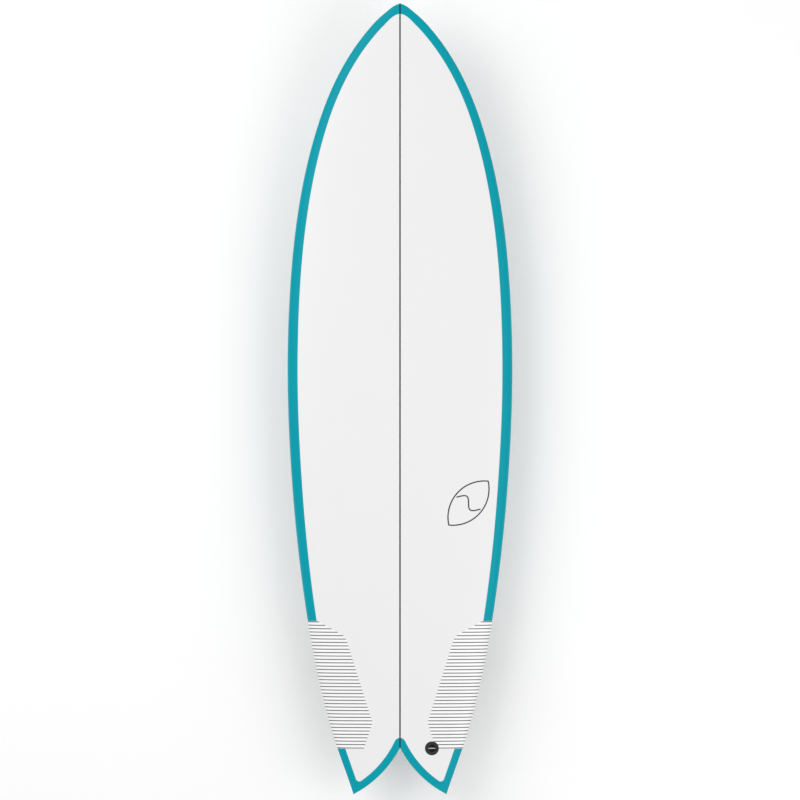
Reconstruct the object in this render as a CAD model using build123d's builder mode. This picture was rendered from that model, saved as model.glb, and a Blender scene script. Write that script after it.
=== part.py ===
from build123d import *

import math
import os
from collections import namedtuple

# A fish surfboard, deck up, nose towards +Y, right-hand rail towards +X, in millimetres. It is drawn with
# z = 0 at the lowest point of its bottom, and each finished piece is raised to stand on its fin tips.

# Overall sizes
LENGTH = 1905.0
WIDTH = 544.0
THICKNESS = 67.0
NOSE_ROCKER = 118.0
TAIL_ROCKER = 48.0
NOSE_THICKNESS = 12.0
TAIL_THICKNESS = 14.0
NOSE_FLAT = 10.0
RAIL_TUCK = 0.8
TIP_SPREAD = 226.0
SWALLOW_DEPTH = 113.0
SWALLOW_BOW = 12.4

# Skin of glass and resin, the colour laid into it, and the timber down the middle
SKIN = 1.6
FILM = 0.8
STRINGER_WIDTH = 4.0
PINLINE_WIDTH = 3.2

# Colour band round the rail
BAND_APEX = 25.5
BAND_SWALLOW = 20.0
BAND_CORNER_RADIUS = 9.0

# Tail patches: how far points lie ahead of the tail tips, and out from the middle of the board
PATCH_FRONT = 418.0
PATCH_BACK = 110.5
PATCH_FRONT_INNER = 199.0
PATCH_SHOULDER = (132.0, 381.5)
PATCH_HIP = (66.5, 173.5)
PATCH_BACK_INNER = 87.5
PATCH_SHOULDER_RADIUS = 30.0
PATCH_HIP_RADIUS = 8.0

# Dark tows across the tail patches
TOW_COUNT = 38
TOW_WIDTH = 2.2
TOW_MARGIN = 1.7

# Wave emblem on the deck: a pointed oval with one wave across it
EMBLEM_FROM_TAIL = 703.5
EMBLEM_FROM_RAIL = 92.0
EMBLEM_LENGTH = 146.0
EMBLEM_BREADTH = 76.0
EMBLEM_LINE = 3.0
EMBLEM_TURN = -42.0
EMBLEM_WAVE = [(-0.80, -0.12), (-0.32, 0.13), (0.32, -0.13), (0.80, 0.12)]

# Leash plug
PLUG_FROM_MIDDLE = 77.0
PLUG_FROM_TAIL = 111.5
PLUG_FLANGE_DIAMETER = 33.5
PLUG_FLANGE = 2.6
PLUG_PROUD = 0.8
PLUG_BODY_DIAMETER = 25.0
PLUG_BODY_DEPTH = 15.0
PLUG_BORE = 17.0
PLUG_FLOOR = 2.5
BAR_DIAMETER = 3.6
BAR_DROP = 3.6
BAR_SEAT = 2.5
PLUG_FOAM_WALL = 6.0

# Fins, counted from the tail tips and in from the rail at their back edge
Fin = namedtuple("Fin", "name from_tail from_rail base height tab_depth cant")
FINS = [
    Fin("front", 284.0, 32.0, 112.0, 114.0, 15.0, 6.0),
    Fin("rear", 147.0, 44.0, 98.0, 98.0, 12.5, 4.0),
]
TOE_IN = 3.0
TAB_THICKNESS = 6.4
BLADE_THICKNESS = 6.6
BLADE_EDGE = 0.7
FIN_STANDOFF = 1.2

# Fin boxes and their screws
SLOT_CLEARANCE = 0.3
BOX_WALL = 4.2
BOX_END = 3.0
BOX_NOSE = 19.0
BOX_FLOOR = 2.0
BOX_FOAM_WALL = 5.0
SCREW_DIAMETER = 5.0
SCREW_LENGTH = 9.0
SCREW_ANGLE = 38.0
SCREW_DEPTH = 7.5
SCREW_POINT = 0.8
SCREW_CLEARANCE = 0.05
SCREW_GAP = 0.3
SOCKET_ACROSS = 2.5
SOCKET_DEPTH = 3.0

# Rail line as seen from above, nose to tail: shares of half the length and half the width. It runs on past
# the tail tips, where the swallow cuts it off.
RAIL_SHAPE = [
    (0.9960, 0.037),
    (0.9810, 0.107),
    (0.9563, 0.190),
    (0.9100, 0.350),
    (0.8088, 0.569),
    (0.6820, 0.743),
    (0.5050, 0.890),
    (0.2510, 0.984),
    (0.0950, 1.000),
    (-0.1030, 0.9835),
    (-0.4070, 0.895),
    (-0.6590, 0.759),
    (-0.8936, 0.544),
    (-1.0030, 0.410),
    (-1.0350, 0.377),
]

# Width of the colour band at shares of half the length, in millimetres
BAND_SHAPE = [
    (0.960, 21.0),
    (0.860, 21.0),
    (0.730, 21.2),
    (0.500, 23.3),
    (0.150, 24.6),
    (-0.200, 24.3),
    (-0.550, 21.7),
    (-0.850, 18.6),
    (-1.020, 17.0),
]

# Blade outline from root to tip: share of the height, then leading edge, trailing edge and thickness as
# shares of the root's
BLADE_SHAPE = [
    (0.00, 0.500, -0.500, 1.00),
    (0.20, 0.375, -0.475, 0.90),
    (0.40, 0.180, -0.460, 0.78),
    (0.60, -0.060, -0.490, 0.62),
    (0.78, -0.320, -0.575, 0.46),
    (0.90, -0.520, -0.665, 0.34),
    (0.97, -0.660, -0.735, 0.24),
    (1.00, -0.735, -0.770, 0.18),
]

# Where cross-sections of the board are taken, as shares of the rail line's length
SECTIONS = [0, 0.004, 0.01, 0.02, 0.036, 0.06, 0.095, 0.15, 0.22, 0.31, 0.41, 0.52, 0.63, 0.73, 0.82, 0.9, 0.96, 1]

# Lowest and thickest places, and how sharply rocker and foil run out towards the ends
LOWEST_Y = -100.0
THICKEST_Y = 40.0
NOSE_FLIP = 2.6
TAIL_FLIP = 2.0
NOSE_FOIL = 2.4
TAIL_FOIL = 2.2

HALF = LENGTH / 2
BELOW = -60.0
ABOVE = NOSE_ROCKER + THICKNESS + 60.0
BESIDE = WIDTH / 2 + 60.0
OVERRUN = 20.0


def bottom_height(y):
    """Height of the bottom at the middle of the board."""
    if y > LOWEST_Y:
        return NOSE_ROCKER * ((y - LOWEST_Y) / (HALF - LOWEST_Y)) ** NOSE_FLIP
    return TAIL_ROCKER * ((LOWEST_Y - y) / (LOWEST_Y + HALF)) ** TAIL_FLIP


def thickness(y):
    """Thickness at the middle of the board."""
    if y > THICKEST_Y:
        thinned = ((y - THICKEST_Y) / (HALF - THICKEST_Y)) ** NOSE_FOIL
        return THICKNESS - (THICKNESS - NOSE_THICKNESS) * thinned
    thinned = ((THICKEST_Y - y) / (THICKEST_Y + HALF)) ** TAIL_FOIL
    return THICKNESS - (THICKNESS - TAIL_THICKNESS) * thinned


def towards_tail(y):
    """0 from the nose to the thickest place, rising to 1 at the tail."""
    return min(1.0, max(0.0, (THICKEST_Y - y) / (THICKEST_Y + HALF)))


def apex_height(y):
    """Height of the rail's widest line, which drops towards the tail."""
    return bottom_height(y) + (0.44 - 0.12 * towards_tail(y)) * thickness(y)


def rail_line():
    """The right-hand rail as seen from above."""
    points = [Vector(across * WIDTH / 2, along * HALF) for along, across in RAIL_SHAPE]
    return Edge.make_spline([Vector(NOSE_FLAT / 2, HALF)] + points)


RAIL = rail_line()


def rail_share(y):
    """Share of the rail line's length at which it reaches y."""
    low, high = 0.0, 1.0
    for _ in range(30):
        middle = (low + high) / 2
        if (RAIL @ middle).Y > y:
            low = middle
        else:
            high = middle
    return low


def inside_rail(share, inset):
    """A point on the rail line, moved inwards square to it."""
    along = RAIL % share
    return RAIL @ share + Vector(along.Y, -along.X) * inset


def cross_section(share, inset):
    """The board's cross-section at a share of the rail line, shrunk by inset: all that is right of the middle,
    and a little past it."""
    point = inside_rail(share, inset)
    half, y = point.X, point.Y
    low = bottom_height(y) + inset
    high = bottom_height(y) + thickness(y) - inset
    apex = apex_height(y)
    flat = (0.82 + 0.09 * towards_tail(y)) * half
    with BuildSketch(Plane.XZ.offset(-y)) as section:
        with BuildLine():
            Bezier((0, high), (0.70 * half, high), (half, apex + 0.74 * (high - apex)), (half, apex))
            Bezier((half, apex), (half - RAIL_TUCK, apex - 0.78 * (apex - low)), (flat, low), (0, low))
            Polyline((0, low), (-OVERRUN, low), (-OVERRUN, high), (0, high))
        make_face()
    return section.sketch


def swallow(inset):
    """The gap between the tail tips as seen from above, grown by inset."""
    crotch = (0, SWALLOW_DEPTH - HALF)
    tip = (TIP_SPREAD / 2, -HALF)
    beyond = (TIP_SPREAD / 2 + 25, -HALF - 5)
    with BuildSketch() as gap:
        with BuildLine():
            SagittaArc(crotch, tip, -SWALLOW_BOW)
            Polyline(tip, beyond, (beyond[0], -HALF - 60), (0, -HALF - 60))
            mirror(about=Plane.YZ)
        make_face()
        if inset:
            offset(amount=inset)
    return gap.sketch


def upright(outline):
    """A solid through the whole height of the board with the given outline from above."""
    with BuildPart() as prism:
        with BuildSketch(Plane.XY.offset(BELOW)):
            add(outline)
        extrude(amount=ABOVE - BELOW)
    return prism.part


def half_board(inset):
    """The right-hand half of the board as one solid, shrunk by inset."""
    with BuildPart() as body:
        loft([cross_section(share, inset) for share in SECTIONS])
        add(upright(swallow(inset)), mode=Mode.SUBTRACT)
        split(bisect_by=Plane.YZ, keep=Keep.TOP)
    return body.part


def above_rail():
    """Everything higher than the rail's widest line."""
    stations = [HALF + 30 - step * (LENGTH + 60) / 24 for step in range(25)]
    with BuildPart() as space:
        with BuildSketch(Plane.YZ.offset(-BESIDE)):
            with BuildLine():
                Spline([(y, apex_height(y)) for y in stations])
                Polyline(
                    (stations[-1], apex_height(stations[-1])),
                    (stations[-1], ABOVE),
                    (stations[0], ABOVE),
                    (stations[0], apex_height(stations[0])),
                )
            make_face()
        extrude(amount=2 * BESIDE)
    return space.part


def field():
    """The white part of the deck as seen from above: all that is inside the colour band."""
    edge = [(0, HALF - BAND_APEX)]
    for along, width in BAND_SHAPE:
        point = inside_rail(rail_share(along * HALF), width)
        edge.append((point.X, point.Y))
    with BuildSketch() as area:
        with BuildLine():
            Spline(edge)
            Polyline(edge[-1], (0, edge[-1][1]))
            mirror(about=Plane.YZ)
        make_face()
        add(swallow(BAND_SWALLOW), mode=Mode.SUBTRACT)
        fillet(area.vertices().group_by(Axis.Y)[0], BAND_CORNER_RADIUS)
    return area.sketch


def patch():
    """The right-hand tail patch as seen from above, running out past the rail."""
    front = PATCH_FRONT - HALF
    back = PATCH_BACK - HALF
    shoulder = (PATCH_SHOULDER[0], PATCH_SHOULDER[1] - HALF)
    hip = (PATCH_HIP[0], PATCH_HIP[1] - HALF)
    with BuildSketch() as area:
        with BuildLine():
            FilletPolyline(
                (PATCH_FRONT_INNER, front),
                shoulder,
                hip,
                (PATCH_BACK_INNER, back),
                radius=[PATCH_SHOULDER_RADIUS, PATCH_HIP_RADIUS],
            )
            Polyline((PATCH_BACK_INNER, back), (BESIDE, back), (BESIDE, front), (PATCH_FRONT_INNER, front))
        make_face()
    return area.sketch


def tows():
    """The dark tows of the right-hand patch as seen from above."""
    first = PATCH_FRONT - HALF - TOW_MARGIN
    pitch = (PATCH_FRONT - PATCH_BACK - 2 * TOW_MARGIN) / (TOW_COUNT - 1)
    with BuildSketch() as area:
        with Locations([(BESIDE / 2, first - pitch * number) for number in range(TOW_COUNT)]):
            Rectangle(BESIDE, TOW_WIDTH)
        add(patch(), mode=Mode.INTERSECT)
    return area.sketch


def emblem():
    """A pointed oval outline with one wave across it, as seen from above."""
    y = EMBLEM_FROM_TAIL - HALF
    x = (RAIL @ rail_share(y)).X - EMBLEM_FROM_RAIL
    tip = EMBLEM_LENGTH / 2
    side = EMBLEM_BREADTH / 2
    with BuildSketch(Plane((x, y, 0)).rotated((0, 0, EMBLEM_TURN))) as mark:
        with BuildLine():
            ThreePointArc((0, -tip), (side, 0), (0, tip))
            ThreePointArc((0, tip), (-side, 0), (0, -tip))
        make_face()
        offset(amount=-EMBLEM_LINE, mode=Mode.SUBTRACT)
        with BuildLine():
            Spline([(across * side, along * tip) for across, along in EMBLEM_WAVE])
        trace(line_width=EMBLEM_LINE)
    return mark.sketch


def surface_plane(x, y, side, ahead=(0, 1, 0)):
    """A plane touching the board at (x, y): side 0 is its bottom and -1 its deck. It faces out of the board."""
    point, normal = hull.find_intersection_points(Axis((x, y, BELOW), (0, 0, 1)))[side]
    outward = normal if (normal.Z > 0) == (side != 0) else -normal
    forward = Vector(*ahead)
    forward = (forward - outward * forward.dot(outward)).normalized()
    return Plane(origin=point, x_dir=forward, z_dir=outward)


def fin_plane(fin):
    """A right-hand fin's plane: x runs forward along its root, z out of the board along its height."""
    toe = math.radians(TOE_IN)
    back = fin.from_tail - HALF
    x = (RAIL @ rail_share(back)).X - fin.from_rail - fin.base / 2 * math.sin(toe)
    touching = surface_plane(x, back + fin.base / 2 * math.cos(toe), 0, (-math.sin(toe), math.cos(toe), 0))
    cant = math.radians(fin.cant)
    forward = touching.x_dir
    down = Vector(math.sin(cant), 0, -math.cos(cant))
    return Plane(origin=touching.origin, x_dir=forward, z_dir=down - forward * down.dot(forward))


def block(plane, back, front, width, low, high):
    """A box drawn on a plane: from back to front along its x, centred across it, from low to high."""
    with BuildPart() as solid:
        with BuildSketch(plane.offset(low)):
            with Locations(((back + front) / 2, 0)):
                Rectangle(front - back, width)
        extrude(amount=high - low)
    return solid.part


def foil(fin, plane, row):
    """One section of a fin: flat on the inside, curved on the outside."""
    share, leading, trailing, thinning = row
    front = leading * fin.base
    back = trailing * fin.base
    inner = -BLADE_THICKNESS / 2
    depth = thinning * BLADE_THICKNESS
    rise = FIN_STANDOFF + share * (fin.height - FIN_STANDOFF)
    with BuildSketch(plane.offset(rise)) as section:
        with BuildLine():
            Bezier(
                (front, inner),
                (front, inner + 1.15 * depth),
                (0.45 * front + 0.55 * back, inner + 1.4 * depth),
                (back, inner + BLADE_EDGE),
            )
            Polyline((back, inner + BLADE_EDGE), (back, inner), (front, inner))
        make_face()
    return section.sketch


def fin_solid(fin, plane):
    """A fin: the foiled blade and the tab under it."""
    with BuildPart() as solid:
        loft([foil(fin, plane, row) for row in BLADE_SHAPE])
        add(block(plane, -fin.base / 2, fin.base / 2, TAB_THICKNESS, -fin.tab_depth, FIN_STANDOFF))
    return solid.part


def box_outside(fin, plane, grown):
    """The outside of a fin box, grown all round, running out past the bottom of the board."""
    reach = fin.base / 2 + SLOT_CLEARANCE + grown
    across = TAB_THICKNESS + 2 * (SLOT_CLEARANCE + BOX_WALL + grown)
    depth = fin.tab_depth + SLOT_CLEARANCE + BOX_FLOOR + grown
    return block(plane, -reach - BOX_END, reach + BOX_NOSE, across, -depth, 30)


def box_slot(fin, plane):
    """The slot that a fin's tab slides in."""
    reach = fin.base / 2 + SLOT_CLEARANCE
    across = TAB_THICKNESS + 2 * SLOT_CLEARANCE
    return block(plane, -reach, reach, across, -fin.tab_depth - SLOT_CLEARANCE, 30)


def screw_plane(fin, plane):
    """The screw's plane: its origin is the tip's centre, its z runs out along the screw."""
    angle = math.radians(SCREW_ANGLE)
    start = fin.base / 2 + SCREW_GAP + SCREW_DIAMETER / 2 * math.sin(angle)
    origin = plane.from_local_coords(Vector(start, 0, -SCREW_DEPTH))
    outward = plane.x_dir * math.cos(angle) + plane.z_dir * math.sin(angle)
    return Plane(origin=origin, x_dir=plane.y_dir, z_dir=outward)


def screw_solid(fin, plane):
    """A headless screw with a blunt point and a hexagon socket."""
    with BuildPart() as solid:
        with BuildSketch(screw_plane(fin, plane)):
            Circle(SCREW_DIAMETER / 2)
        extrude(amount=SCREW_LENGTH)
        chamfer(solid.edges().filter_by(GeomType.CIRCLE).sort_by(screw_axis(fin, plane))[0], SCREW_POINT)
        with BuildSketch(screw_plane(fin, plane).offset(SCREW_LENGTH)):
            RegularPolygon(SOCKET_ACROSS / 2, 6, major_radius=False)
        extrude(amount=-SOCKET_DEPTH, mode=Mode.SUBTRACT)
    return solid.part


def screw_axis(fin, plane):
    """The line that the screw turns and travels on, pointing out of the board."""
    return Axis(screw_plane(fin, plane).origin, screw_plane(fin, plane).z_dir)


def screw_hole(fin, plane):
    """The hole that the screw runs in, open into the slot."""
    with BuildPart() as hole:
        with BuildSketch(screw_plane(fin, plane).offset(-4)):
            Circle(SCREW_DIAMETER / 2 + SCREW_CLEARANCE)
        extrude(amount=60)
    return hole.part


def mirrored(solid):
    """The left-hand copy of a right-hand solid or group of solids."""
    return mirror(solid, about=Plane.YZ)


def shared(first, *others):
    """What solids have in common."""
    with BuildPart() as common:
        add(first)
        for other in others:
            add(other, mode=Mode.INTERSECT)
    return common.part


def without(first, *others):
    """The first solid with the others cut out of it."""
    with BuildPart() as rest:
        add(first)
        for other in others:
            add(other, mode=Mode.SUBTRACT)
    return rest.part


def both_halves(solid):
    """A right-hand half joined to its mirror image across the middle of the board."""
    with BuildPart() as whole:
        add(solid)
        add(mirrored(solid), clean=False)
    return whole.part


def plug_outside(grown):
    """The leash plug's outer shape, grown all round: a flange on the deck and a round body under it."""
    with BuildPart() as solid:
        with BuildSketch(plug_plane.offset(-PLUG_BODY_DEPTH - grown)):
            Circle(PLUG_BODY_DIAMETER / 2 + grown)
        extrude(amount=PLUG_BODY_DEPTH + grown)
        with BuildSketch(plug_plane.offset(-PLUG_FLANGE - grown)):
            Circle(PLUG_FLANGE_DIAMETER / 2 + grown)
        extrude(amount=PLUG_FLANGE + PLUG_PROUD + 2 * grown)
    return solid.part


def write(piece, name):
    """Raise a finished piece to stand on the floor, label it and write it."""
    raised = Pos(0, 0, STAND) * piece
    raised.label = name
    export_step(raised, f"parts/{name}.step")


def write_pair(solid, name):
    """Write a right-hand piece and its mirror image."""
    write(solid, f"{name}_right")
    write(mirrored(solid), f"{name}_left")


os.makedirs("parts", exist_ok=True)

# The right-hand half of the board: its outer surface, the bed that inlays lie on, and the blank under the skin
hull = half_board(0)
bed = half_board(FILM)
blank = half_board(SKIN)
high = above_rail()
inside_band = upright(field())
under_field = inside_band - high
deck_side = shared(hull, high)
patch_column = upright(patch())
plug_plane = surface_plane(PLUG_FROM_MIDDLE, PLUG_FROM_TAIL - HALF, -1)
plug_space = plug_outside(0)

# Fins and fin boxes, right-hand ones first. The board stands on its lowest fin tips.
planes = {fin.name: fin_plane(fin) for fin in FINS}
blades = {fin.name: fin_solid(fin, planes[fin.name]) for fin in FINS}
STAND = -min(blade.bounding_box().min.Z for blade in blades.values())

box_spaces = []
box_foams = []
for fin in FINS:
    plane = planes[fin.name]
    write_pair(blades[fin.name], f"{fin.name}_fin")
    write_pair(screw_solid(fin, plane), f"{fin.name}_fin_screw")

    box_spaces.append(box_outside(fin, plane, 0))
    with BuildPart() as fin_box:
        add(hull)
        add(box_spaces[-1], mode=Mode.INTERSECT)
        add(box_slot(fin, plane), mode=Mode.SUBTRACT)
        add(screw_hole(fin, plane), mode=Mode.SUBTRACT)
    write_pair(fin_box.part, f"{fin.name}_fin_box")

    box_foams.append(shared(blank, box_outside(fin, plane, BOX_FOAM_WALL)))
    with BuildPart() as fin_box_foam:
        add(box_foams[-1])
        add(box_spaces[-1], mode=Mode.SUBTRACT)
    write_pair(fin_box_foam.part, f"{fin.name}_fin_box_foam")

# Leash plug: a cup with a cross bar, bedded in a plug of dense foam
with BuildPart() as leash_plug_bar:
    with BuildSketch(Plane(plug_plane.offset(-BAR_DROP).origin, x_dir=plug_plane.z_dir, z_dir=Vector(1, 0, 0))):
        Circle(BAR_DIAMETER / 2)
    extrude(amount=PLUG_BORE / 2 + BAR_SEAT, both=True)
write(leash_plug_bar.part, "leash_plug_bar")

with BuildPart() as leash_plug_cup:
    add(plug_space)
    with BuildSketch(plug_plane.offset(PLUG_PROUD)):
        Circle(PLUG_BORE / 2)
    extrude(amount=PLUG_FLOOR - PLUG_BODY_DEPTH - PLUG_PROUD, mode=Mode.SUBTRACT)
    add(leash_plug_bar.part, mode=Mode.SUBTRACT)
write(leash_plug_cup.part, "leash_plug_cup")

plug_foam_space = shared(blank, plug_outside(PLUG_FOAM_WALL))
with BuildPart() as leash_plug_foam:
    add(plug_foam_space)
    add(plug_space, mode=Mode.SUBTRACT)
write(leash_plug_foam.part, "leash_plug_foam")

# Timber down the middle, and a foam core on each side of it
with BuildPart() as stringer_space:
    with BuildSketch(Plane.XY.offset(BELOW)):
        Rectangle(STRINGER_WIDTH, LENGTH + 120)
    extrude(amount=ABOVE - BELOW)

with BuildPart() as stringer:
    add(both_halves(shared(blank, stringer_space.part)))
write(stringer.part, "stringer")

with BuildPart() as core:
    add(blank)
    add(stringer_space.part, mode=Mode.SUBTRACT)
    for solid in box_foams + box_spaces:
        add(solid, mode=Mode.SUBTRACT)
write(mirrored(core.part), "core_left")
write(without(core.part, plug_foam_space, plug_space), "core_right")

# Inlays in the deck: the pinline, the emblem and the tows of the tail patches
with BuildPart() as pinline_space:
    with BuildSketch(Plane.XY.offset(BELOW)):
        Rectangle(PINLINE_WIDTH, LENGTH + 120)
    extrude(amount=ABOVE - BELOW)

with BuildPart() as deck_pinline:
    add(shared(deck_side, pinline_space.part))
    add(bed, mode=Mode.SUBTRACT)
write(both_halves(deck_pinline.part), "deck_pinline")

with BuildPart() as deck_emblem:
    add(shared(deck_side, upright(emblem()), inside_band))
    add(bed, mode=Mode.SUBTRACT)
write(deck_emblem.part, "deck_emblem")

with BuildPart() as patch_film:
    add(shared(deck_side, patch_column))
    add(bed, mode=Mode.SUBTRACT)
carbon_tows = patch_film.part & upright(tows())
write(mirrored(carbon_tows), "carbon_tows_left")
write(carbon_tows - plug_space, "carbon_tows_right")

# Skins: tail patches over deck and rail, colour bands round the rail, then clear glass above and below
with BuildPart() as tail_patch:
    add(shared(hull, patch_column))
    for solid in (blank, under_field, carbon_tows):
        add(solid, mode=Mode.SUBTRACT)
write(mirrored(tail_patch.part), "tail_patch_left")
write(without(tail_patch.part, plug_space), "tail_patch_right")

with BuildPart() as bands:
    add(hull)
    for solid in (inside_band, blank, patch_column, deck_pinline.part):
        add(solid, mode=Mode.SUBTRACT)
tail_band, rail_band = bands.solids().sort_by(Axis.Y)
write_pair(tail_band, "tail_band")
write_pair(rail_band, "rail_band")

with BuildPart() as deck_half:
    add(shared(deck_side, inside_band))
    for solid in (blank, patch_column, deck_pinline.part):
        add(solid, mode=Mode.SUBTRACT)
write(without(both_halves(deck_half.part), deck_emblem.part, plug_space), "deck_laminate")

with BuildPart() as bottom_half:
    add(shared(hull, under_field))
    add(blank, mode=Mode.SUBTRACT)
    for solid in box_spaces:
        add(solid, mode=Mode.SUBTRACT)
write(both_halves(bottom_half.part), "bottom_laminate")
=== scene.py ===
import math

import bpy
import numpy as np
from mathutils import Matrix, Vector


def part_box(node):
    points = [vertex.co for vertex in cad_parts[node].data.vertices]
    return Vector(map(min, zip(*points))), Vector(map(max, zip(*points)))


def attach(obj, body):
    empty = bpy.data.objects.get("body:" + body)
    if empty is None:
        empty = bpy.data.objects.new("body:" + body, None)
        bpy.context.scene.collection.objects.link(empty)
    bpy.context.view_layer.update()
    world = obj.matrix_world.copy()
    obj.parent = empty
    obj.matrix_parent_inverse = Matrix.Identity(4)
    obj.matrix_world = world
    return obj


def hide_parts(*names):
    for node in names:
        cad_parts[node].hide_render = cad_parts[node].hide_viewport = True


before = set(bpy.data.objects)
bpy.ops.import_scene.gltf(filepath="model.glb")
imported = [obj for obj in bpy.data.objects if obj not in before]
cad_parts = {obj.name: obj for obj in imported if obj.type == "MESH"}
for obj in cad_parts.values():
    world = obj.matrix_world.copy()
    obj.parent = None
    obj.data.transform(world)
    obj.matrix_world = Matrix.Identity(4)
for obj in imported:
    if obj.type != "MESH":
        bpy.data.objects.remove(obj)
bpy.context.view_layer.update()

MM = 0.001
RIGHT, LEFT = 1, -1
SIDES = {"right": RIGHT, "left": LEFT}
BISECTIONS = 44

# ---------------------------------------------------------------- the board's lines, in millimetres
LENGTH, WIDTH, THICKNESS = 1905.0, 544.0, 67.0
NOSE_ROCKER, TAIL_ROCKER = 118.0, 48.0
NOSE_THICKNESS, TAIL_THICKNESS = 12.0, 14.0
LOWEST_Y, THICKEST_Y = -100.0, 40.0
HALF = LENGTH / 2
RAIL_TUCK = 0.8
TIP_X = 113.0
CROTCH_Y = -839.5
SWALLOW_BOW = 12.4
SWALLOW_EDGE = 2.5
SKIN = 1.6
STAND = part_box("bottom_laminate")[0].z / MM

# Rail line from above: shares of half the length and half the width, with a rounded nose
RAIL_SHAPE = [
    (1.0000, 0.000), (0.9960, 0.037), (0.9810, 0.113), (0.9600, 0.198), (0.9354, 0.2785), (0.9100, 0.3505),
    (0.8088, 0.569), (0.6820, 0.743), (0.5050, 0.890), (0.2510, 0.984), (0.0950, 1.000), (-0.1030, 0.9835),
    (-0.4070, 0.895), (-0.6590, 0.759), (-0.8936, 0.544), (-1.0030, 0.410), (-1.0350, 0.377),
]
# Width of the colour band at shares of half the length
BAND_SHAPE = [
    (0.960, 21.0), (0.860, 21.0), (0.730, 21.2), (0.500, 23.3), (0.150, 24.6), (-0.200, 24.3),
    (-0.550, 21.7), (-0.850, 18.6), (-1.020, 17.0),
]
BAND_APEX = 25.5
BAND_SWALLOW = 18.3
BAND_CORNER = 8.5
BAND_CROTCH_Y = -815.6
BAND_LIFT = 0.12
UNDER_BAND = 1.5

PATCH_FRONT, PATCH_BACK = -534.5, -842.0
PATCH_CORNERS = [(199.0, PATCH_FRONT), (132.0, -571.0), (66.5, -779.0), (87.5, PATCH_BACK)]
PATCH_RADII = [30.0, 8.0]
PATCH_LIFT = 0.15
TOW_COUNT, TOW_WIDTH, TOW_MARGIN = 38, 2.1, 1.7
TOW_LIFT, TOW_DEPTH = 0.3, 0.3
PINLINE_WIDTH, PINLINE_LIFT, PINLINE_DEPTH = 3.2, 0.3, 0.5

# The emblem: a pointed oval with a wave across it
EMBLEM_FROM_TAIL, EMBLEM_FROM_RAIL = 703.5, 92.0
EMBLEM_TALL, EMBLEM_WIDE = 73.0, 38.0
EMBLEM_LINE, EMBLEM_LIFT, EMBLEM_DEPTH = 3.0, 0.2, 0.4
EMBLEM_TURN = -42
EMBLEM_WAVE = [(-0.82, -0.12), (-0.32, 0.13), (0.32, -0.13), (0.82, 0.12)]

# The leash plug
PLUG_X, PLUG_Y = 77.0, -841.0
PLUG_HOLE = 16.78
BAR_RADIUS, BAR_LENGTH, BAR_DROP = 1.8, 20.0, 3.6

# The fins: slot round the tab, wall of the box beside it, and the box's reach past both ends of the slot
SLOT_CLEARANCE, BOX_WALL, BOX_END, BOX_NOSE = 0.3, 4.2, 3.0, 19.0


def smooth_line(points, count):
    """A natural cubic curve through points, sampled evenly along its length."""
    points = np.array(points, float)
    knots = np.concatenate([[0], np.cumsum(np.linalg.norm(np.diff(points, axis=0), axis=1))])
    gap = np.diff(knots)
    size = len(points)
    system = np.eye(size)
    target = np.zeros((size, 2))
    for i in range(1, size - 1):
        system[i, i - 1:i + 2] = gap[i - 1], 2 * (gap[i - 1] + gap[i]), gap[i]
        target[i] = 6 * ((points[i + 1] - points[i]) / gap[i] - (points[i] - points[i - 1]) / gap[i - 1])
    bend = np.linalg.solve(system, target)
    at = np.linspace(0, knots[-1], 20 * count)
    span = np.clip(np.searchsorted(knots, at, side="right") - 1, 0, size - 2)
    before = ((at - knots[span]) / gap[span])[:, None]
    after = 1 - before
    wide = (gap[span] ** 2)[:, None] / 6
    line = after * points[span] + before * points[span + 1]
    line += wide * ((after ** 3 - after) * bend[span] + (before ** 3 - before) * bend[span + 1])
    return evenly(line, count)


def evenly(line, count, crowding=1.0):
    """Points along a line at even distances, or crowded towards its end."""
    line = np.asarray(line, float)
    reach = np.concatenate([[0], np.cumsum(np.linalg.norm(np.diff(line, axis=0), axis=1))])
    at = reach[-1] * (1 - (1 - np.linspace(0, 1, count)) ** crowding)
    return np.stack([np.interp(at, reach, line[:, k]) for k in range(line.shape[1])], axis=1)


RAIL = smooth_line([(across * WIDTH / 2, along * HALF) for along, across in RAIL_SHAPE], 3000)


def half_width(y):
    return np.interp(-np.asarray(y, float), -RAIL[:, 1], RAIL[:, 0])


def bottom_middle(y):
    """Height of the bottom at the middle of the board."""
    ahead = np.clip((y - LOWEST_Y) / (HALF - LOWEST_Y), 0, None)
    behind = np.clip((LOWEST_Y - y) / (LOWEST_Y + HALF), 0, None)
    return NOSE_ROCKER * ahead ** 2.6 + TAIL_ROCKER * behind ** 2.0


def thickness(y):
    ahead = np.clip((y - THICKEST_Y) / (HALF - THICKEST_Y), 0, None)
    behind = np.clip((THICKEST_Y - y) / (THICKEST_Y + HALF), 0, None)
    thinned = (THICKNESS - NOSE_THICKNESS) * ahead ** 2.4 + (THICKNESS - TAIL_THICKNESS) * behind ** 2.2
    return THICKNESS - thinned


def towards_tail(y):
    return np.clip((THICKEST_Y - y) / (THICKEST_Y + HALF), 0, 1)


def apex_height(y):
    return bottom_middle(y) + (0.44 - 0.12 * towards_tail(y)) * thickness(y)


def bezier(t, a, b, c, d):
    return a * (1 - t) ** 3 + 3 * b * (1 - t) ** 2 * t + 3 * c * (1 - t) * t ** 2 + d * t ** 3


def place_on(rising, wanted, *ends):
    """Where a cubic that only rises, or only falls, takes the wanted value."""
    low = np.zeros_like(wanted)
    high = np.ones_like(wanted)
    for _ in range(BISECTIONS):
        middle = (low + high) / 2
        short = (bezier(middle, *ends) < wanted) == rising
        low = np.where(short, middle, low)
        high = np.where(short, high, middle)
    return (low + high) / 2


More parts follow.
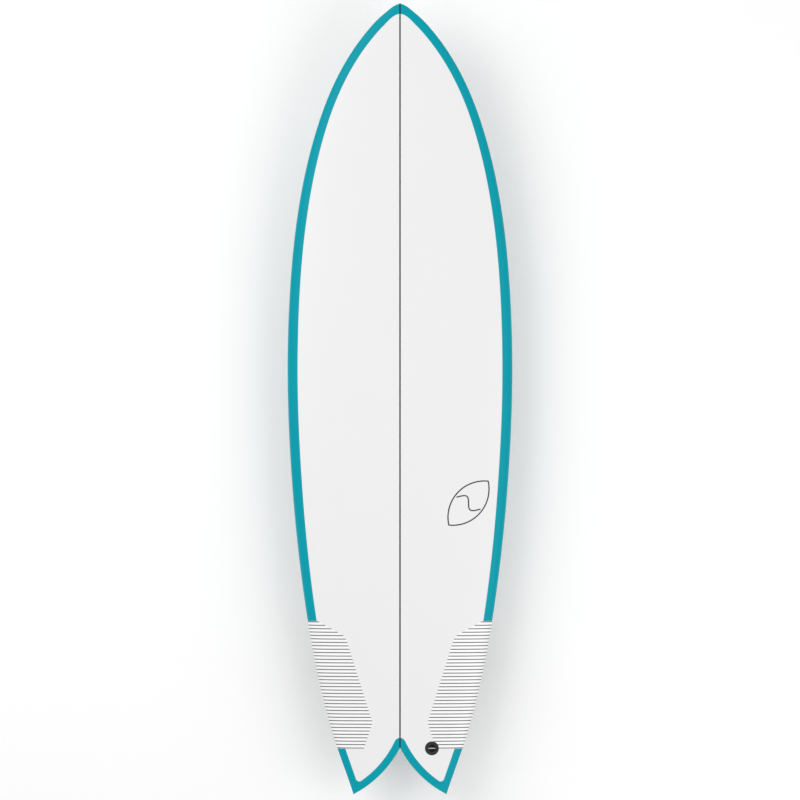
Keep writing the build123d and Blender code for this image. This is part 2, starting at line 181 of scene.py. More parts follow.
def deck_height(x, y):
    """Height of the deck at a point seen from above."""
    half = np.maximum(half_width(y), 0.01)
    x = np.minimum(np.abs(x), half)
    t = place_on(True, x / half, 0.0, 0.70, 1.0, 1.0)
    apex = apex_height(y)
    crown = bottom_middle(y) + thickness(y)
    return bezier(t, crown, crown, apex + 0.74 * (crown - apex), apex)


def bottom_height(x, y):
    """Height of the bottom at a point seen from above."""
    half = np.maximum(half_width(y), 0.01)
    x = np.minimum(np.abs(x), half)
    flat = 0.82 + 0.09 * towards_tail(y)
    t = place_on(False, x / half, 1.0, 1 - RAIL_TUCK / np.maximum(half, 4), flat, 0.0)
    apex = apex_height(y)
    low = bottom_middle(y)
    return bezier(t, apex, apex - 0.78 * (apex - low), low, low)


# ---------------------------------------------------------------- the lines drawn on the board
def square_in(line, widths):
    """A line moved to its right by the given widths."""
    along = np.gradient(line, axis=0)
    along /= np.linalg.norm(along, axis=1)[:, None]
    return line + np.stack([along[:, 1], -along[:, 0]], axis=1) * np.asarray(widths)[:, None]


def band_width(y):
    places = np.array(BAND_SHAPE)[::-1]
    return np.interp(y, places[:, 0] * HALF, places[:, 1])


def swallow_circle():
    """Centre and radius of the right-hand edge of the swallow, a shallow arc from crotch to tip."""
    chord = math.hypot(TIP_X, HALF + CROTCH_Y)
    radius = (chord ** 2 / 4 + SWALLOW_BOW ** 2) / (2 * SWALLOW_BOW)
    along = (radius - SWALLOW_BOW) / chord
    return np.array([TIP_X / 2 + along * (HALF + CROTCH_Y), (CROTCH_Y - HALF) / 2 + along * TIP_X]), radius


def arc(centre, radius, start, end, count):
    """Points on a circle between two points, the short way round."""
    first = math.atan2(start[1] - centre[1], start[0] - centre[0])
    turn = math.atan2(end[1] - centre[1], end[0] - centre[0]) - first
    turn = (turn + math.pi) % (2 * math.pi) - math.pi
    angle = first + turn * np.linspace(0, 1, count)
    return np.array(centre) + radius * np.stack([np.cos(angle), np.sin(angle)], axis=1)


def field_edge(spare=0.0):
    """The inner edge of the colour band, grown by spare: the rail side from the nose apex to the lowest point
    of the tail corner, and the swallow side from there to the crotch."""
    line = RAIL[(RAIL[:, 1] < 0.962 * HALF)]
    inner = square_in(line, band_width(line[:, 1]) - spare)
    hubs = square_in(line, band_width(line[:, 1]) - spare + BAND_CORNER)
    centre, radius = swallow_circle()
    radius -= BAND_SWALLOW - spare
    off = np.abs(np.linalg.norm(hubs - centre, axis=1) - (radius - BAND_CORNER))
    corner = int(np.argmin(np.where(hubs[:, 1] < -880, off, 1e9)))
    hub = hubs[corner]
    leaving = hub + (hub - centre) * BAND_CORNER / np.linalg.norm(hub - centre)
    fillet = arc(hub, BAND_CORNER, inner[corner], leaving, 40)
    lowest = int(np.argmin(fillet[:, 1]))
    step = inner[60] * [-1, 1], inner[0] * [-1, 1], (0, HALF - BAND_APEX + spare), inner[0], inner[60]
    apex = smooth_line(step, 400)
    apex = apex[(apex[:, 0] >= 0) & (apex[:, 0] < inner[0][0])]
    apex[0] = 0, HALF - BAND_APEX + spare
    side = np.concatenate([apex, inner[:corner], fillet[:lowest + 1]])
    top = BAND_CROTCH_Y
    cap = (centre[0] ** 2 + (top - centre[1]) ** 2 - radius ** 2) / (2 * (radius + (top - centre[1])))
    cap_hub = np.array([0, top - cap])
    touch = cap_hub + (centre - cap_hub) * cap / np.linalg.norm(centre - cap_hub)
    edge = arc(centre, radius, leaving, touch, 160)
    hollow = np.concatenate([fillet[lowest:-1], edge, arc(cap_hub, cap, touch, (0, top), 24)[1:]])
    return side, hollow


def rounded(corners, radii):
    """A run of straight lines whose inner corners are rounded off."""
    corners = np.array(corners, float)
    line = [corners[0]]
    for i, radius in enumerate(radii, 1):
        back = (corners[i - 1] - corners[i]) / np.linalg.norm(corners[i - 1] - corners[i])
        ahead = (corners[i + 1] - corners[i]) / np.linalg.norm(corners[i + 1] - corners[i])
        half_turn = math.acos(np.clip(back @ ahead, -1, 1)) / 2
        reach = radius / math.tan(half_turn)
        hub = corners[i] + (back + ahead) / np.linalg.norm(back + ahead) * radius / math.sin(half_turn)
        line.extend(arc(hub, radius, corners[i] + back * reach, corners[i] + ahead * reach, 16))
    line.append(corners[-1])
    return np.array(line)


def across_at(line, y):
    """How far out a line from nose to tail is at y."""
    return np.interp(-np.asarray(y, float), -line[:, 1], line[:, 0])


# ---------------------------------------------------------------- ways of making pieces
def select(*objs):
    bpy.ops.object.select_all(action="DESELECT")
    for o in objs:
        o.select_set(True)
    bpy.context.view_layer.objects.active = objs[0]


def in_edit_mode(piece, *steps):
    select(piece)
    bpy.ops.object.mode_set(mode="EDIT")
    bpy.ops.mesh.select_all(action="SELECT")
    for step in steps:
        step()
    bpy.ops.object.mode_set(mode="OBJECT")


def apply(piece, kind, **settings):
    """Add one modifier and apply it."""
    select(piece)
    modifier = piece.modifiers.new(kind.title(), kind)
    for key, value in settings.items():
        setattr(modifier, key, value)
    bpy.ops.object.modifier_apply(modifier=modifier.name)


def sheet(name, points, outward):
    """A smooth surface through rows of points in millimetres. outward is a direction, or a height along the
    board's middle to face away from."""
    rows, columns = points.shape[:2]
    bpy.ops.mesh.primitive_grid_add(x_subdivisions=columns - 1, y_subdivisions=rows - 1, size=1)
    piece = bpy.context.object
    piece.name = name
    assert len(piece.data.vertices) == rows * columns
    piece.data.vertices.foreach_set("co", (points.reshape(-1, 3) * MM).ravel())
    piece.data.update()
    centres = np.array([f.center for f in piece.data.polygons])
    normals = np.array([f.normal * f.area for f in piece.data.polygons])
    if outward is None:
        heights = (apex_height(centres[:, 1] / MM) + STAND) * MM
        middle = np.stack([0 * centres[:, 0], centres[:, 1], heights], axis=1)
        facing = (normals * (centres - middle)).sum()
    else:
        facing = (normals @ np.array(outward)).sum()
    steps = [lambda: bpy.ops.mesh.remove_doubles(threshold=1e-5)]
    if facing < 0:
        steps.append(bpy.ops.mesh.flip_normals)
    in_edit_mode(piece, *steps)
    return piece


def thicken(piece, depth, angle=40):
    """Give a surface its thickness, inwards, and shade it smooth."""
    apply(piece, "SOLIDIFY", thickness=depth * MM, offset=-1, use_even_offset=False)
    shade(piece, angle)


def shade(piece, angle=40):
    select(piece)
    bpy.ops.object.shade_smooth_by_angle(angle=math.radians(angle))


def both_sides(piece):
    """Make the other half of a piece that meets the middle of the board."""
    apply(piece, "MIRROR", merge_threshold=1e-5)


def cut(piece, *tools):
    for tool in tools:
        apply(piece, "BOOLEAN", object=tool, operation="DIFFERENCE", solver="EXACT")


def done(piece, material, body, *nodes, slot=None):
    piece.data.materials.clear()
    piece.data.materials.append(material)
    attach(piece, body)
    if nodes:
        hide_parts(*nodes)


def on_deck(x, y, lift=0.0):
    return np.stack(np.broadcast_arrays(x, y, deck_height(x, y) + STAND + lift), axis=-1)


def on_bottom(x, y, lift=0.0):
    return np.stack(np.broadcast_arrays(x, y, bottom_height(x, y) + STAND - lift), axis=-1)


def flipped(points, side):
    return points * np.array([side, 1, 1])


# ---------------------------------------------------------------- finishes
def finish(
    name, colour, second=None, scale=60.0, rough=(0.3, 0.4), coat=0.0, metallic=0.0, bump=0.0,
    bump_scale=900.0, stretch=(1, 1, 1), weave=0.0, gloss=0.5,
):
    """A finish that varies a little from place to place, in the piece's own coordinates."""
    material = bpy.data.materials.new(name)
    material.use_nodes = True
    nodes, links = material.node_tree.nodes, material.node_tree.links
    shader = nodes["Principled BSDF"]
    place = nodes.new("ShaderNodeTexCoord").outputs["Object"]
    mapping = nodes.new("ShaderNodeMapping")
    mapping.inputs["Scale"].default_value = stretch
    links.new(place, mapping.inputs["Vector"])
    mottle = nodes.new("ShaderNodeTexNoise")
    mottle.inputs["Scale"].default_value = scale
    mottle.inputs["Detail"].default_value = 4
    links.new(mapping.outputs["Vector"], mottle.inputs["Vector"])
    mix = nodes.new("ShaderNodeMix")
    mix.data_type = "RGBA"
    mix.inputs["A"].default_value = (*colour, 1)
    mix.inputs["B"].default_value = (*(second or [c * 0.93 for c in colour]), 1)
    links.new(mottle.outputs["Fac"], mix.inputs["Factor"])
    links.new(mix.outputs["Result"], shader.inputs["Base Color"])
    sheen = nodes.new("ShaderNodeMapRange")
    sheen.inputs["From Min"].default_value = 0.3
    sheen.inputs["From Max"].default_value = 0.7
    sheen.inputs["To Min"].default_value, sheen.inputs["To Max"].default_value = rough
    links.new(mottle.outputs["Fac"], sheen.inputs["Value"])
    links.new(sheen.outputs["Result"], shader.inputs["Roughness"])
    shader.inputs["Metallic"].default_value = metallic
    shader.inputs["Specular IOR Level"].default_value = gloss
    shader.inputs["Coat Weight"].default_value = coat
    shader.inputs["Coat Roughness"].default_value = 0.12
    if bump or weave:
        height = nodes.new("ShaderNodeTexNoise")
        height.inputs["Scale"].default_value = bump_scale
        links.new(mapping.outputs["Vector"], height.inputs["Vector"])
        source = height.outputs["Fac"]
        if weave:
            strands = []
            for direction in ("X", "Y"):
                strand = nodes.new("ShaderNodeTexWave")
                strand.bands_direction = direction
                strand.inputs["Scale"].default_value = 180.0
                strand.inputs["Distortion"].default_value = 0.4
                links.new(mapping.outputs["Vector"], strand.inputs["Vector"])
                strands.append(strand.outputs["Fac"])
            cross = nodes.new("ShaderNodeMath")
            cross.operation = "MULTIPLY"
            links.new(strands[0], cross.inputs[0])
            links.new(strands[1], cross.inputs[1])
            both = nodes.new("ShaderNodeMath")
            both.operation = "MULTIPLY_ADD"
            both.inputs[1].default_value = weave
            links.new(cross.outputs[0], both.inputs[0])
            links.new(source, both.inputs[2])
            source = both.outputs[0]
        relief = nodes.new("ShaderNodeBump")
        relief.inputs["Strength"].default_value = bump or 0.05
        relief.inputs["Distance"].default_value = 0.0002
        links.new(source, relief.inputs["Height"])
        links.new(relief.outputs["Normal"], shader.inputs["Normal"])
    return material


def across_middle(material, colour, half_wide):
    """Let the timber down the middle of the blank show faintly through a clear skin."""
    nodes, links = material.node_tree.nodes, material.node_tree.links
    shader = nodes["Principled BSDF"]
    split = nodes.new("ShaderNodeSeparateXYZ")
    links.new(nodes["Texture Coordinate"].outputs["Object"], split.inputs[0])
    size = nodes.new("ShaderNodeMath")
    size.operation = "ABSOLUTE"
    links.new(split.outputs["X"], size.inputs[0])
    edge = nodes.new("ShaderNodeMapRange")
    edge.inputs["From Min"].default_value = half_wide
    edge.inputs["From Max"].default_value = half_wide + 0.0006
    edge.inputs["To Min"].default_value, edge.inputs["To Max"].default_value = 1, 0
    links.new(size.outputs[0], edge.inputs["Value"])
    blend = nodes.new("ShaderNodeMix")
    blend.data_type = "RGBA"
    links.new(nodes["Mix"].outputs["Result"], blend.inputs["A"])
    blend.inputs["B"].default_value = (*colour, 1)
    links.new(edge.outputs["Result"], blend.inputs["Factor"])
    links.new(blend.outputs["Result"], shader.inputs["Base Color"])


clear_deck = finish(
    "satin clear glass over white foam", (0.815, 0.815, 0.818), (0.80, 0.80, 0.802), 9, (0.30, 0.36),
    bump=0.03, weave=0.6, gloss=0.25,
)
clear_bottom = finish(
    "clear glass over white foam with timber line", (0.85, 0.853, 0.855), (0.82, 0.823, 0.82), 9, (0.22, 0.3),
    bump=0.03, weave=0.6,
)
across_middle(clear_bottom, (0.62, 0.5, 0.36), 0.002)
teal = finish(
    "satin teal resin", (0.0005, 0.335, 0.415), (0.0005, 0.305, 0.38), 7, (0.28, 0.36),
    bump=0.02, gloss=0.08,
)
white_resin = finish(
    "satin white resin", (0.93, 0.93, 0.932), (0.91, 0.91, 0.91), 12, (0.26, 0.33), bump=0.02,
)
dark_fibre = finish(
    "dark fibre under resin", (0.055, 0.055, 0.06), (0.11, 0.11, 0.115), 500, (0.3, 0.42),
    bump=0.05, stretch=(0.1, 1, 1), gloss=0.15,
)
line_black = finish(
    "black resin line", (0.012, 0.012, 0.013), (0.02, 0.02, 0.02), 80, (0.3, 0.4), bump=0.03, gloss=0.1,
)
mark_grey = finish(
    "dark grey ink", (0.035, 0.035, 0.036), (0.05, 0.05, 0.05), 120, (0.4, 0.5), bump=0.02, gloss=0.1,
)
black_plastic = finish(
    "moulded black plastic", (0.011, 0.011, 0.012), (0.02, 0.02, 0.02), 150, (0.34, 0.48),
    bump=0.08, gloss=0.3,
)
bright_steel = finish(
    "polished stainless steel", (0.78, 0.78, 0.78), (0.68, 0.68, 0.69), 200, (0.16, 0.28), metallic=1.0,
    bump=0.03, stretch=(0.15, 1, 1),
)
screw_steel = finish(
    "plain stainless steel", (0.6, 0.6, 0.61), (0.5, 0.5, 0.51), 300, (0.28, 0.42), metallic=1.0, bump=0.05,
)
fin_plastic = finish(
    "satin glass-filled plastic", (0.014, 0.014, 0.016), (0.03, 0.03, 0.033), 60, (0.26, 0.38),
    bump=0.06, weave=0.5,
)
white_plastic = finish(
    "moulded white plastic", (0.82, 0.82, 0.81), (0.78, 0.78, 0.77), 90, (0.38, 0.5), bump=0.06,
)
blank_foam = finish(
    "white bead foam", (0.9, 0.9, 0.89), (0.84, 0.84, 0.83), 180, (0.75, 0.9), bump=0.35, bump_scale=260,
)
dense_foam = finish(
    "dense foam", (0.8, 0.74, 0.58), (0.72, 0.66, 0.5), 260, (0.75, 0.9), bump=0.3, bump_scale=1200,
)
timber = finish(
    "sawn softwood", (0.62, 0.44, 0.26), (0.42, 0.27, 0.14), 40, (0.55, 0.7),
    bump=0.2, bump_scale=120, stretch=(1, 0.06, 1),
)

# Parts that stay as they are under the skin and in the fin boxes
KEPT = [
    ("core", blank_foam), ("stringer", timber), ("leash_plug_foam", dense_foam), ("box_foam", dense_foam),
    ("fin_box", white_plastic), ("screw", screw_steel),
]
for node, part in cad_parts.items():
    look = next((finish_used for word, finish_used in KEPT if word in node), None)
    if look:
        part.data.materials.clear()
        part.data.materials.append(look)

# ---------------------------------------------------------------- deck and bottom
side_edge, hollow_edge = field_edge(0.0)
side_spare, hollow_spare = field_edge(UNDER_BAND)


def field_points(side_line, hollow_line, heights, lift, rows=150, columns=33):
    top, end = side_line[0][1], side_line[-1][1]
    share = np.linspace(0, 1, rows)
    share = 0.5 - 0.5 * np.cos(math.pi * share)
    y = top + (end - top) * (0.55 * share + 0.45 * np.linspace(0, 1, rows))
    crotch = hollow_line[-1][1]
    y[np.argmin(np.abs(y - crotch))] = crotch
    outer = across_at(side_line, y)
    outer[0] = 0
    hollow_up = hollow_line[::-1]
    inner = np.where(y < crotch, across_at(hollow_up, y), 0)
    inner[-1] = outer[-1]
    u = np.linspace(0, 1, columns)
    u = 1 - (1 - u) ** 1.4
    x = inner[:, None] + (outer - inner)[:, None] * u
    return heights(x, y[:, None] + 0 * x, lift)


deck = sheet("deck", field_points(side_spare, hollow_spare, on_deck, 0.0), (0, 0, 1))
both_sides(deck)
thicken(deck, SKIN)
bottom = sheet("bottom", field_points(side_spare, hollow_spare, on_bottom, 0.0), (0, 0, -1))
both_sides(bottom)
thicken(bottom, SKIN)


# ---------------------------------------------------------------- colour band
def ring_points(outer, inner, edge_round):
    """Rows across the band: over the deck to the board's edge, down it, and back under the bottom."""
    across = np.linspace(0, 1, 13)
    across = 1 - (1 - across) ** 2
    into = inner - outer
    into /= np.linalg.norm(into, axis=1)[:, None]
    shy = outer + into * edge_round[:, None]
    columns = []
    for f in across:
        at = inner + (shy - inner) * f
        columns.append(on_deck(at[:, 0], at[:, 1], BAND_LIFT * (1 - f)))
    top = deck_height(shy[:, 0], shy[:, 1])
    low = bottom_height(shy[:, 0], shy[:, 1])
    fall = np.minimum(edge_round, (top - low) * 0.45)
    for turn in np.linspace(0, math.pi / 2, 6)[1:]:
        at = shy - into * (edge_round * math.sin(turn))[:, None]
        columns.append(np.stack([at[:, 0], at[:, 1], top + STAND - fall * (1 - math.cos(turn))], axis=1))
    for turn in np.linspace(math.pi / 2, 0, 6)[:-1]:
        at = shy - into * (edge_round * math.sin(turn))[:, None]
        columns.append(np.stack([at[:, 0], at[:, 1], low + STAND + fall * (1 - math.cos(turn))], axis=1))
    for f in across[::-1]:
        at = inner + (shy - inner) * f
        columns.append(on_bottom(at[:, 0], at[:, 1], BAND_LIFT * (1 - f)))
    return np.stack(columns, axis=1)


def cut_line(line, top, bottom):
    """The stretch of a line between two places along the board."""
    ends = [(across_at(line, y), y) for y in (top, bottom)]
    middle = line[(line[:, 1] < top) & (line[:, 1] > bottom)]
    return np.concatenate([[ends[0]], middle, [ends[1]]])


rail_outer = cut_line(RAIL, HALF, PATCH_FRONT - 1.8)
rail_outer[0] = 0, HALF
rail_inner = cut_line(side_edge, side_edge[0][1], PATCH_FRONT - 1.8)
count = 260
rail_outer = evenly(rail_outer[::-1], count, 1.6)[::-1]
rail_inner = evenly(rail_inner[::-1], count, 1.6)[::-1]
centre, radius = swallow_circle()
swallow_edge = arc(centre, radius, (TIP_X, -HALF), (0, CROTCH_Y), 120)
tail_rail = cut_line(RAIL, PATCH_BACK + 1.6, -HALF + 0.01)
tail_outer = np.concatenate([evenly(tail_rail, 40), evenly(swallow_edge, 70)[1:]])
tail_side = cut_line(side_edge, PATCH_BACK + 1.6, side_edge[-1][1])
tail_inner = np.concatenate([evenly(tail_side, 40), evenly(hollow_edge, 70)[1:]])
tail_round = np.concatenate([np.full(40, 0.0), np.full(69, SWALLOW_EDGE)])
tail_round[39:44] = np.linspace(0.2, SWALLOW_EDGE, 5)

for name, side in SIDES.items():
    wrap = ring_points(rail_outer, rail_inner, np.zeros(count) + 1e-4)
    band = sheet(f"rail_band_{name}", flipped(wrap, side), None)
    thicken(band, SKIN, 50)
    done(band, teal, "board", f"rail_band_{name}", slot="colour_band")
    tail = sheet(f"tail_band_{name}", flipped(ring_points(tail_outer, tail_inner, tail_round + 1e-4), side), None)
    thicken(tail, SKIN, 50)
    done(tail, teal, "board", f"tail_band_{name}", slot="colour_band")

# ---------------------------------------------------------------- tail patches and their tows
patch_line = rounded(PATCH_CORNERS, PATCH_RADII)


def patch_points(y, lift):
    inner = across_at(patch_line, y)
    outer = half_width(y)
    under = across_at(side_edge, y)
    q = 1 - (1 - np.linspace(0, 1, 25)) ** 2
    x = inner[:, None] + (outer - inner)[:, None] * q
    lines = y[:, None] + 0 * x
    over = on_deck(x, lines, lift)
    x = outer[:, None] + (under - outer)[:, None] * (np.linspace(0, 1, 9) ** 2)
    below = on_bottom(x, y[:, None] + 0 * x, lift)
    points = np.concatenate([over, below[:, 1:]], axis=1)
    points[..., 0] += lift * (points[..., 0] > outer[:, None] - 6)
    return points


first = PATCH_FRONT - TOW_MARGIN
pitch = (PATCH_FRONT - PATCH_BACK - 2 * TOW_MARGIN) / (TOW_COUNT - 1)
tow_middles = first - pitch * np.arange(TOW_COUNT)
plug_axis = Vector((0.040915, -0.006391, 0.999142)).normalized()
plug_height = float(deck_height(np.array([PLUG_X]), np.array([PLUG_Y]))[0]) + STAND
plug_origin = Vector((PLUG_X, PLUG_Y, plug_height)) * MM


def along_plug(rise):
    return plug_origin + plug_axis * rise * MM


def plug_bore(radius, depth):
    bpy.ops.mesh.primitive_cylinder_add(
        vertices=96,
        radius=radius * MM,
        depth=2 * depth * MM,
        location=along_plug(0),
        rotation=plug_axis.to_track_quat("Z", "Y").to_euler(),
    )
    bpy.ops.object.transform_apply()
    return bpy.context.object


plug_hole = plug_bore(PLUG_HOLE, 9)
patch_rows = np.concatenate([np.linspace(PATCH_FRONT, PATCH_BACK, 90), patch_line[:, 1], tow_middles])
patch_rows = np.unique(patch_rows)[::-1]
for name, side in SIDES.items():
    patch = sheet(f"tail_patch_{name}", flipped(patch_points(patch_rows, PATCH_LIFT), side), None)
    thicken(patch, SKIN)
    tow_rows = np.stack([tow_middles + TOW_WIDTH / 2, tow_middles, tow_middles - TOW_WIDTH / 2], axis=1).ravel()
    tows = sheet(f"carbon_tows_{name}", flipped(patch_points(tow_rows, TOW_LIFT), side), None)
    middles = np.array([f.center.y for f in tows.data.polygons]) / MM
    far = np.abs(middles[:, None] - tow_middles).min(axis=1) > TOW_WIDTH * 0.6
    bpy.ops.object.mode_set(mode="EDIT")
    bpy.ops.mesh.select_all(action="DESELECT")
    bpy.ops.object.mode_set(mode="OBJECT")
    tows.data.polygons.foreach_set("select", far)
    bpy.ops.object.mode_set(mode="EDIT")
    bpy.ops.mesh.select_mode(type="FACE")
    bpy.ops.mesh.delete(type="FACE")
    bpy.ops.object.mode_set(mode="OBJECT")
    thicken(tows, TOW_DEPTH)
    if side == RIGHT:
        cut(patch, plug_hole)
        cut(tows, plug_hole)
    done(patch, white_resin, "board", f"tail_patch_{name}", slot="white_patch")
    done(tows, dark_fibre, "board", f"carbon_tows_{name}", slot="dark_tow")

cut(deck, plug_hole)
done(deck, clear_deck, "board", "deck_laminate", slot="clear_glass")


# ---------------------------------------------------------------- pinline and emblem
def ribbon(line, width, lift, columns=4):
    """Points of a flat line laid on the deck along a path."""
    rows = [square_in(line, np.full(len(line), offset)) for offset in np.linspace(-width / 2, width / 2, columns)]
    return np.stack([on_deck(row[:, 0], row[:, 1], lift) for row in rows], axis=1)


pin_path = np.stack([np.zeros(420), np.linspace(HALF - 0.9, CROTCH_Y + 0.6, 420)], axis=1)
pinline = sheet("deck_pinline", ribbon(pin_path, PINLINE_WIDTH, PINLINE_LIFT), (0, 0, 1))
thicken(pinline, PINLINE_DEPTH)
done(pinline, line_black, "board", "deck_pinline", slot="dark_line")

mark_y = EMBLEM_FROM_TAIL - HALF
mark = np.array([float(half_width(mark_y)) - EMBLEM_FROM_RAIL, mark_y])
turn = math.radians(EMBLEM_TURN)
spin = np.array([[math.cos(turn), math.sin(turn)], [-math.sin(turn), math.cos(turn)]])


def lens(inset):
    """A pointed oval, tip to tip and back."""
    radius = (EMBLEM_TALL ** 2 + EMBLEM_WIDE ** 2) / (2 * EMBLEM_WIDE) - inset
    hub = EMBLEM_WIDE - inset - radius
    reach = math.sqrt(radius ** 2 - hub ** 2)
    right = arc((hub, 0), radius, (0, -reach), (0, reach), 60)
    left = (right * [-1, 1])[::-1]
    return np.concatenate([right[:-1], left])


outer, inner = lens(0) @ spin + mark, lens(EMBLEM_LINE) @ spin + mark
ring = np.stack([outer, (outer + inner) / 2, inner], axis=1)
emblem = sheet("deck_emblem", on_deck(ring[..., 0], ring[..., 1], EMBLEM_LIFT), (0, 0, 1))
wave = smooth_line([(across * EMBLEM_WIDE, along * EMBLEM_TALL) for across, along in EMBLEM_WAVE], 60)
stroke = sheet("emblem_wave", ribbon(wave @ spin + mark, EMBLEM_LINE, EMBLEM_LIFT + 0.01), (0, 0, 1))
select(emblem, stroke)
bpy.ops.object.join()
thicken(emblem, EMBLEM_DEPTH)
done(emblem, mark_grey, "board", "deck_emblem", slot="dark_tow")


# ---------------------------------------------------------------- leash plug
def turned(name, profile, segments=96):
    """A turned piece on the leash plug's axis, drawn up ring by ring from the middle of its underside, from a
    profile of radius and height."""
    radius, rise = profile[0]
    bpy.ops.mesh.primitive_circle_add(
        vertices=segments, radius=radius * MM, fill_type="NGON", location=(0, 0, rise * MM)
    )
    piece = bpy.context.object
    piece.name = name
    bpy.ops.object.transform_apply()
    bpy.ops.object.mode_set(mode="EDIT")
    bpy.ops.mesh.select_mode(type="FACE")
    bpy.ops.mesh.select_all(action="SELECT")
    for r, z in profile[1:]:
        bpy.ops.mesh.extrude_region_move(TRANSFORM_OT_translate={"value": (0, 0, (z - rise) * MM)})
        bpy.ops.transform.resize(value=(r / radius, r / radius, 1), center_override=(0, 0, 0))
        radius, rise = r, z
    bpy.ops.mesh.select_all(action="DESELECT")
    bpy.ops.mesh.select_mode(type="EDGE")
    bpy.ops.mesh.select_non_manifold()
    bpy.ops.mesh.fill_holes(sides=0)
    bpy.ops.mesh.select_all(action="SELECT")
    bpy.ops.mesh.normals_make_consistent(inside=False)
    bpy.ops.object.mode_set(mode="OBJECT")
    turned_to = plug_axis.to_track_quat("Z", "Y").to_matrix().to_4x4()
    piece.matrix_world = Matrix.Translation(plug_origin) @ turned_to
    bpy.ops.object.transform_apply()
    return piece


cup_profile = [
    (11.5, -15.0), (12.5, -14.0), (12.5, -1.8), (16.4, -1.8), (16.72, -1.5), (16.75, 0.1), (16.55, 0.45),
    (16.1, 0.7), (15.4, 0.8), (9.6, 0.8), (8.95, 0.6), (8.6, 0.2), (8.5, -0.5), (8.5, -11.6), (8.1, -12.3),
    (7.4, -12.5),
]
cup = turned("leash_plug_cup", cup_profile)
shade(cup, 30)
done(cup, black_plastic, "board", "leash_plug_cup", slot="black_plastic")
across = Vector((0.999163, 0.0, -0.040916))
bpy.ops.mesh.primitive_cylinder_add(
    vertices=48,
    radius=BAR_RADIUS * MM,
    depth=BAR_LENGTH * MM,
    location=along_plug(-BAR_DROP),
    rotation=across.to_track_quat("Z", "Y").to_euler(),
)
bar = bpy.context.object
bar.name = "leash_plug_bar"
bpy.ops.object.transform_apply()
apply(bar, "BEVEL", width=0.3 * MM, segments=3)
shade(bar, 30)
done(bar, bright_steel, "board", "leash_plug_bar", slot="bright_steel")

# ---------------------------------------------------------------- fins
BLADE_SHAPE = [
    (0.00, 0.500, -0.500, 1.00), (0.20, 0.375, -0.475, 0.90), (0.40, 0.180, -0.460, 0.78),
    (0.60, -0.060, -0.490, 0.62), (0.78, -0.320, -0.575, 0.46), (0.90, -0.520, -0.665, 0.34),
    (0.97, -0.660, -0.735, 0.24), (1.00, -0.735, -0.770, 0.18),
]
BLADE_THICKNESS, BLADE_EDGE, FIN_STANDOFF, TAB_THICKNESS = 6.6, 0.7, 1.2, 6.4
# Each row's base, height and tab depth, then the right-hand fin's origin and its directions: forward along its
# root, sideways away from the board's middle, and out along its height
FIN_PLANES = {
    "front": (
        (112.0, 114.0, 15.0),
        (163.068, -612.577, 107.285),
        (-0.047742, 0.996090, -0.074339),
        (0.992995, 0.055383, 0.104368),
        (0.108077, -0.068836, -0.991757),
    ),
    "rear": (
        (98.0, 98.0, 12.5),
        (116.173, -756.567, 116.755),
        (-0.050047, 0.994744, -0.089326),
        (0.995978, 0.056363, 0.069646),
        (0.074314, -0.085481, -0.993564),
    ),
}


def blade_points(base, height):
    """The blade's rows from root to tip: flat inside, foiled outside, each a closed loop."""
    rows = np.array(BLADE_SHAPE)
    share = 1 - (1 - np.linspace(0, 1, 56)) ** 1.35
    form = []
    for k in (1, 2, 3):
        gap = np.diff(rows[:, 0])
        slope = np.gradient(rows[:, k], rows[:, 0])
        at = np.clip(np.searchsorted(rows[:, 0], share, side="right") - 1, 0, len(gap) - 1)
        t = (share - rows[at, 0]) / gap[at]
        form.append(
            rows[at, k] * (1 + 2 * t) * (1 - t) ** 2 + slope[at] * gap[at] * t * (1 - t) ** 2
            + rows[at + 1, k] * t ** 2 * (3 - 2 * t) + slope[at + 1] * gap[at] * t ** 2 * (t - 1)
        )
    front, back, depth = form[0] * base, form[1] * base, form[2] * BLADE_THICKNESS
    inner = -BLADE_THICKNESS / 2
    t = (0.5 - 0.5 * np.cos(math.pi * np.linspace(0, 1, 29)))[None, :]
    front, back, depth = front[:, None], back[:, None], depth[:, None]
    lengthwise = bezier(t, front, front, 0.45 * front + 0.55 * back, back)
    edge = inner + BLADE_EDGE + 0 * depth
    outward = bezier(t, inner + 0 * depth, inner + 1.15 * depth, inner + 1.4 * depth, edge)
    flat = np.linspace(0, 1, 16)[None, :]
    lengthwise = np.concatenate([lengthwise, back + (front - back) * flat], axis=1)
    outward = np.concatenate([outward, inner + 0 * front + 0 * flat], axis=1)
    rise = FIN_STANDOFF + share * (height - FIN_STANDOFF)
    return np.stack([lengthwise, outward, rise[:, None] + 0 * lengthwise], axis=-1)


def block(size, middle, origin, basis, side):
    """A box of a given size, drawn about a middle in a fin's own directions."""
    bpy.ops.mesh.primitive_cube_add(size=1)
    box = bpy.context.object
    corners = np.array([v.co for v in box.data.vertices]) * np.array(size) + np.array(middle)
    box.data.vertices.foreach_set("co", (flipped(corners @ basis + np.array(origin), side) * MM).ravel())
    box.data.update()
    in_edit_mode(box, lambda: bpy.ops.mesh.normals_make_consistent(inside=False))
    return box


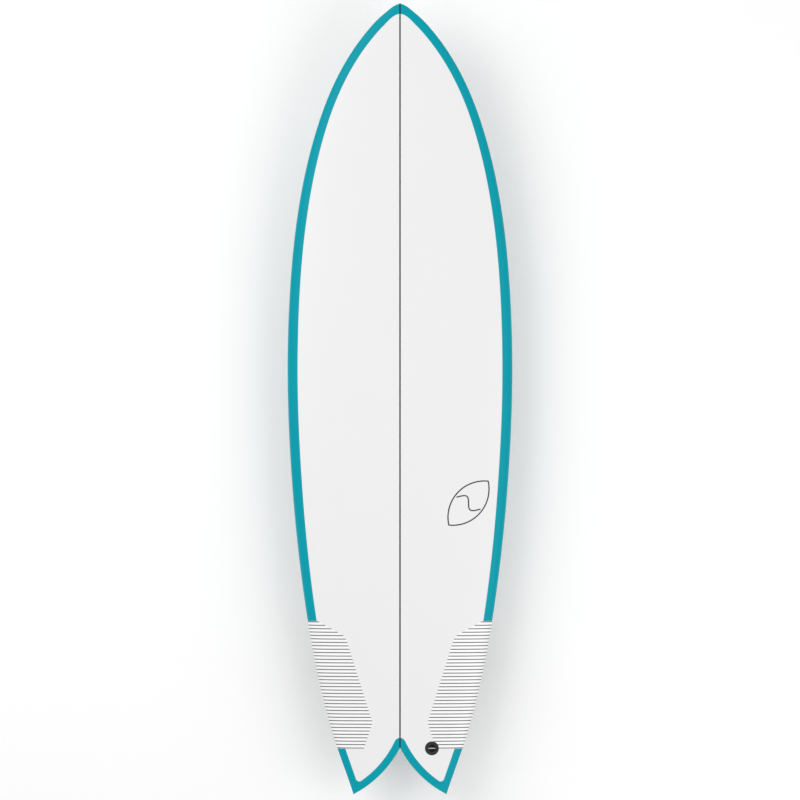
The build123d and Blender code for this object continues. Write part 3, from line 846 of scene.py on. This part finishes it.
for row, ((base, height, tab), origin, forward, sideways, out) in FIN_PLANES.items():
    basis = np.array([forward, sideways, out])
    for name, side in SIDES.items():
        points = blade_points(base, height)
        placed = flipped(points @ basis + np.array(origin), side)
        blade = sheet(f"{row}_fin_{name}", placed, np.array(sideways) * [side, 1, 1])
        bpy.ops.object.mode_set(mode="EDIT")
        bpy.ops.mesh.select_all(action="DESELECT")
        bpy.ops.mesh.select_mode(type="EDGE")
        bpy.ops.mesh.select_non_manifold()
        bpy.ops.mesh.fill_holes(sides=0)
        bpy.ops.mesh.select_all(action="SELECT")
        bpy.ops.mesh.normals_make_consistent(inside=False)
        bpy.ops.object.mode_set(mode="OBJECT")
        tab_size = (base, TAB_THICKNESS, tab + FIN_STANDOFF)
        foot = block(tab_size, (0, 0, (FIN_STANDOFF - tab) / 2), origin, basis, side)
        apply(foot, "BEVEL", width=0.5 * MM, segments=3)
        select(blade, foot)
        bpy.ops.object.join()
        shade(blade, 35)
        done(blade, fin_plastic, f"{row}_{name}_fin", f"{row}_fin_{name}", slot="fin")
        # room for the fin box in the bottom's skin
        low, high = -base / 2 - SLOT_CLEARANCE - BOX_END, base / 2 + SLOT_CLEARANCE + BOX_NOSE
        room_size = (high - low, TAB_THICKNESS + 2 * (SLOT_CLEARANCE + BOX_WALL), 24.0)
        room = block(room_size, ((low + high) / 2, 0, 0), origin, basis, side)
        cut(bottom, room)
        bpy.data.objects.remove(room)
done(bottom, clear_bottom, "board", "bottom_laminate", slot="clear_glass")
bpy.data.objects.remove(plug_hole)

# ---------------------------------------------------------------- floor, light and camera
bpy.ops.mesh.primitive_plane_add(size=24)
floor = bpy.context.object
floor.name = "floor"
floor.data.materials.append(finish("pale studio floor", (0.97, 0.97, 0.97), (0.96, 0.96, 0.96), 1.5, (0.85, 0.95)))

world = bpy.data.worlds.new("studio")
bpy.context.scene.world = world
world.use_nodes = True
world.node_tree.nodes["Background"].inputs["Color"].default_value = (1, 1, 1, 1)
world.node_tree.nodes["Background"].inputs["Strength"].default_value = 0.72


def softbox(name, location, target, size, power):
    bpy.ops.object.light_add(type="AREA", location=location)
    lamp = bpy.context.object
    lamp.name = name
    lamp.data.shape = "RECTANGLE"
    lamp.data.size, lamp.data.size_y = size
    lamp.data.energy = power
    lamp.rotation_euler = (Vector(target) - Vector(location)).to_track_quat("-Z", "Y").to_euler()


softbox("key", (-2.2, 1.2, 3.2), (0, 0, 0.1), (2.4, 3.0), 48)
softbox("fill", (2.4, -0.8, 3.0), (0, 0, 0.1), (2.4, 3.0), 34)

bpy.ops.object.camera_add(location=(0, 0, 12.0), rotation=(0, 0, 0))
camera = bpy.context.object
camera.data.sensor_width = 36.0
camera.data.lens = 36.0 * (12.0 - (STAND + 67.0) * MM) / 1.9304
camera.data.clip_end = 100
bpy.context.scene.camera = camera
bpy.context.scene.view_settings.view_transform = "Standard"
